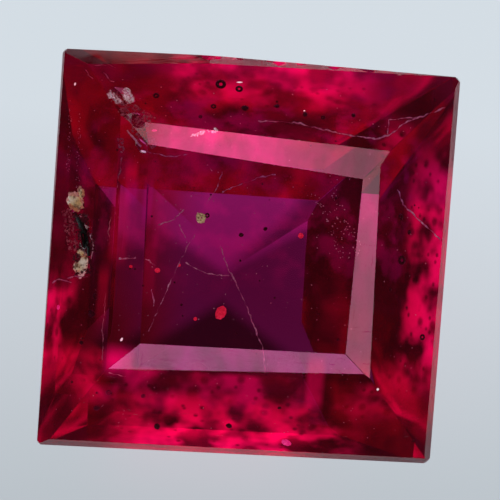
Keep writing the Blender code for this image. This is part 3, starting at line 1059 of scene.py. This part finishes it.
worn_white = mineral_material(
    "worn_white",
    ((0.66, 0.38, 0.50), (0.80, 0.62, 0.72), (0.42, 0.16, 0.26)),
    per_mm=9.0, roughness=0.35, glow=0.30,
)
for name, paths, material in (("fissure", FISSURE, fissure_black), ("pale_lips", PALE_LIPS, worn_white)):
    thread_piece(name, paths, FISSURE_DEPTH, FISSURE_WANDER, FISSURE_CELLS, FISSURE_THINNEST, material)
bright_white = mineral_material(
    "bright_white",
    ((0.90, 0.80, 0.86), (1.0, 0.92, 0.96), (0.80, 0.55, 0.66)),
    per_mm=9.0, roughness=0.3, glow=0.9,
)
lump_piece(
    "bright_points", BRIGHT_POINTS, bright_white, BRIGHT_LUMPS, BRIGHT_SEED_STEP, 2, BRIGHT_POINT_COVER
)

# The broken corner shows a network of small broken faces, with painted silver highlights in patches where
# they would turn to the light. The same rough flecks lie left of the fissure, dark ones line the pit, and
# fine specks lie over the whole crown; all of them have a painted glow.
FLECK_SEED = 44
FLECK_NARROWEST = 0.4
FLECK_FIELDS = (
    # piece, from, to, half width, count, smallest and largest, flatness, tilt, depth
    ("broken_faces", (-2.20, 2.36), (-1.72, 2.08), 0.14, 190, (0.007, 0.025), 0.3, 0.6, 0.015),
    ("broken_faces", (-2.36, 2.56), (-2.10, 2.20), 0.05, 40, (0.012, 0.034), 0.3, 0.6, 0.015),
    ("broken_faces", (-2.00, 2.05), (-1.60, 1.72), 0.09, 130, (0.007, 0.024), 0.3, 0.6, 0.015),
    ("broken_faces", (-2.20, 1.82), (-2.16, 1.55), 0.05, 24, (0.010, 0.028), 0.3, 0.4, 0.015),
    ("pit_faces", (-2.78, 0.52), (-2.58, -0.10), 0.13, 150, (0.018, 0.044), 0.3, 0.5, 0.004),
    ("pit_faces", (-2.72, 0.00), (-2.66, -0.48), 0.15, 90, (0.018, 0.044), 0.3, 0.5, 0.004),
    ("broken_faces", (-3.02, 0.58), (-2.84, -0.10), 0.09, 110, (0.010, 0.034), 0.35, 0.6, 0.015),
    ("painted_silver_glints", (-2.44, 2.56), (-2.25, 2.40), 0.05, 110, (0.008, 0.026), 0.4, 0.8, 0.012),
    ("painted_silver_glints", (-2.19, 2.64), (-2.07, 2.42), 0.055, 130, (0.008, 0.030), 0.25, 0.5, 0.012),
    ("painted_silver_glints", (-1.06, 1.94), (-0.62, 2.07), 0.03, 34, (0.010, 0.036), 0.25, 0.4, 0.012),
    ("fine_specks", (1.20, 1.20), (1.80, 0.15), 0.22, 90, (0.006, 0.015), 0.6, 0.5, 0.01),
    ("fine_specks", (-2.95, 0.0), (3.0, 0.0), 2.9, 330, (0.004, 0.011), 0.6, 0.5, 0.01),
    ("fine_specks", (-3.08, 2.45), (-3.05, 1.2), 0.03, 40, (0.005, 0.013), 0.6, 0.5, 0.01),
    ("fine_specks", (-2.92, 2.2), (-2.86, 0.9), 0.03, 40, (0.005, 0.013), 0.6, 0.5, 0.01),
)


def fleck_tree():
    """Puts one small faceted fleck on every point, turned and stretched as the point says."""
    tree, inside, outside = geometry_tree("flecks", (("Material", "NodeSocketMaterial"),))
    ball = tree.nodes.new("GeometryNodeMeshIcoSphere")
    ball.inputs["Radius"].default_value = 1.0
    ball.inputs["Subdivisions"].default_value = 1
    copies = tree.nodes.new("GeometryNodeInstanceOnPoints")
    tree.links.new(inside.outputs["Geometry"], copies.inputs["Points"])
    tree.links.new(ball.outputs["Mesh"], copies.inputs["Instance"])
    tree.links.new(point_value(tree, "stretch", "FLOAT_VECTOR"), copies.inputs["Scale"])
    tree.links.new(point_value(tree, "turn", "FLOAT_VECTOR"), copies.inputs["Rotation"])
    finish_tree(tree, copies.outputs["Instances"], inside, outside)
    return tree


def fleck_points(name, fields, draw):
    """Points scattered along short lines on the crown, each with its stretch and turn."""
    places, stretches, turns = [], [], []
    for _, (x0, y0), (x1, y1), half_width, count, sizes, flatness, tilt, depth in fields:
        length = math.hypot(x1 - x0, y1 - y0)
        for _ in range(count):
            along = draw.random()
            aside = draw.uniform(-half_width, half_width)
            x_mm = x0 + (x1 - x0) * along - (y1 - y0) / length * aside
            y_mm = y0 + (y1 - y0) * along + (x1 - x0) / length * aside
            size = draw.uniform(*sizes) * MM
            there = surface_frame(x_mm, y_mm, depth + size / MM * flatness)
            spin = Matrix.Rotation(draw.uniform(0.0, 2.0 * math.pi), 4, "Z")
            tip = Matrix.Rotation(draw.uniform(-tilt, tilt), 4, "X")
            places.append(tuple(there.translation))
            stretches.extend((size, size * draw.uniform(FLECK_NARROWEST, 1.0), size * flatness))
            turns.extend((there @ spin @ tip).to_euler())
    mesh = bpy.data.meshes.new(name)
    mesh.from_pydata(places, [], [])
    mesh.attributes.new("stretch", "FLOAT_VECTOR", "POINT").data.foreach_set("vector", stretches)
    mesh.attributes.new("turn", "FLOAT_VECTOR", "POINT").data.foreach_set("vector", turns)
    return mesh


FLECKS = fleck_tree()
draw = random.Random(FLECK_SEED)
for name, colours, cells, glow in (
    ("broken_faces", ((0.44, 0.07, 0.13), (0.78, 0.34, 0.42), (0.18, 0.01, 0.04)), 6.0, 0.22),
    ("pit_faces", ((0.13, 0.01, 0.03), (0.30, 0.07, 0.10), (0.05, 0.004, 0.012)), 6.0, 0.12),
    ("painted_silver_glints", ((0.62, 0.50, 0.56), (0.98, 0.86, 1.0), (0.26, 0.17, 0.16)), 7.0, 0.50),
    ("fine_specks", ((0.66, 0.24, 0.38), (0.85, 0.52, 0.64), (0.45, 0.08, 0.20)), 8.0, 0.25),
):
    points = fleck_points(name, [field for field in FLECK_FIELDS if field[0] == name], draw)
    values = {"Material": mineral_material(name, colours, per_mm=cells, roughness=0.35, glow=glow)}
    finish_piece(name, grow(name, points, FLECKS, values))
